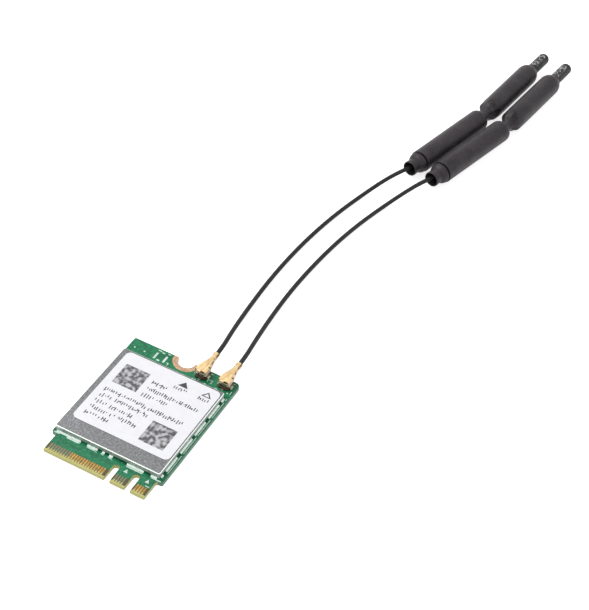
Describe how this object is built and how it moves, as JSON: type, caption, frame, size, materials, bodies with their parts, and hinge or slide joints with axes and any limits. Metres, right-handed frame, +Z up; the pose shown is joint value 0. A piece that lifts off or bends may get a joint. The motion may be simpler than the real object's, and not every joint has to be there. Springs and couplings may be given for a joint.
{
  "type": "laptop wifi card",
  "caption": "Small wireless network board with edge contacts, shield can and two coaxial antennas on push-on plugs.",
  "frame": {"origin": "centre of the half-round screw notch, on the underside of the board", "axes": "+X across the board, +Y from the edge contacts to the screw notch, +Z up from the underside to the shield can"},
  "size_m": [0.0381, 0.1521, 0.0047],
  "materials": {
    "board_mask": "green solder mask over glass laminate",
    "contact_gold": "gold plated, slightly worn",
    "notch_copper": "bare copper plating, satin",
    "can_steel": "tinned sheet, fine grain",
    "solder": "bright solder",
    "label_paper": "white matte label",
    "chip_package": "moulded black package",
    "crystal_lid": "plated lid",
    "ferrite": "dark ferrite",
    "capacitor_body": "tan ceramic",
    "socket_resin": "black resin",
    "socket_gold": "gold plated",
    "plug_gold": "pale gold plated stamping",
    "plug_resin": "black resin",
    "cable_jacket": "satin black jacket",
    "heat_shrink": "charcoal heat-shrink, fine wrinkles",
    "element_brass": "drawn tube",
    "core_insulation": "white insulation over the wire",
    "tail_sleeve": "dark grey printed sleeve"
  },
  "bodies": {
    "root": {"circuit_board": "board_mask", "edge_contacts_top": "contact_gold", "edge_contacts_bottom": "contact_gold", "notch_plating": "notch_copper", "shield_can": "can_steel", "shield_solder": "solder", "label": "label_paper", "radio_chip": "chip_package", "front_end_modules": "chip_package", "crystal": "crystal_lid", "memory_chip": "chip_package", "power_inductor": "ferrite", "capacitors": "capacitor_body", "socket_main_base": "socket_resin", "socket_main_shell": "socket_gold", "socket_main_pin": "socket_gold", "plug_main_shell": "plug_gold", "plug_main_insulator": "plug_resin", "plug_main_contact": "socket_gold", "coax_main": "cable_jacket", "antenna_main_sleeve": "heat_shrink", "antenna_main_lower_tube": "element_brass", "antenna_main_upper_tube": "element_brass", "antenna_main_core": "core_insulation", "antenna_main_tail": "tail_sleeve", "socket_aux_base": "socket_resin", "socket_aux_shell": "socket_gold", "socket_aux_pin": "socket_gold", "plug_aux_shell": "plug_gold", "plug_aux_insulator": "plug_resin", "plug_aux_contact": "socket_gold", "coax_aux": "cable_jacket", "antenna_aux_sleeve": "heat_shrink", "antenna_aux_lower_tube": "element_brass", "antenna_aux_upper_tube": "element_brass", "antenna_aux_core": "core_insulation", "antenna_aux_tail": "tail_sleeve"}
  },
  "joints": []
}
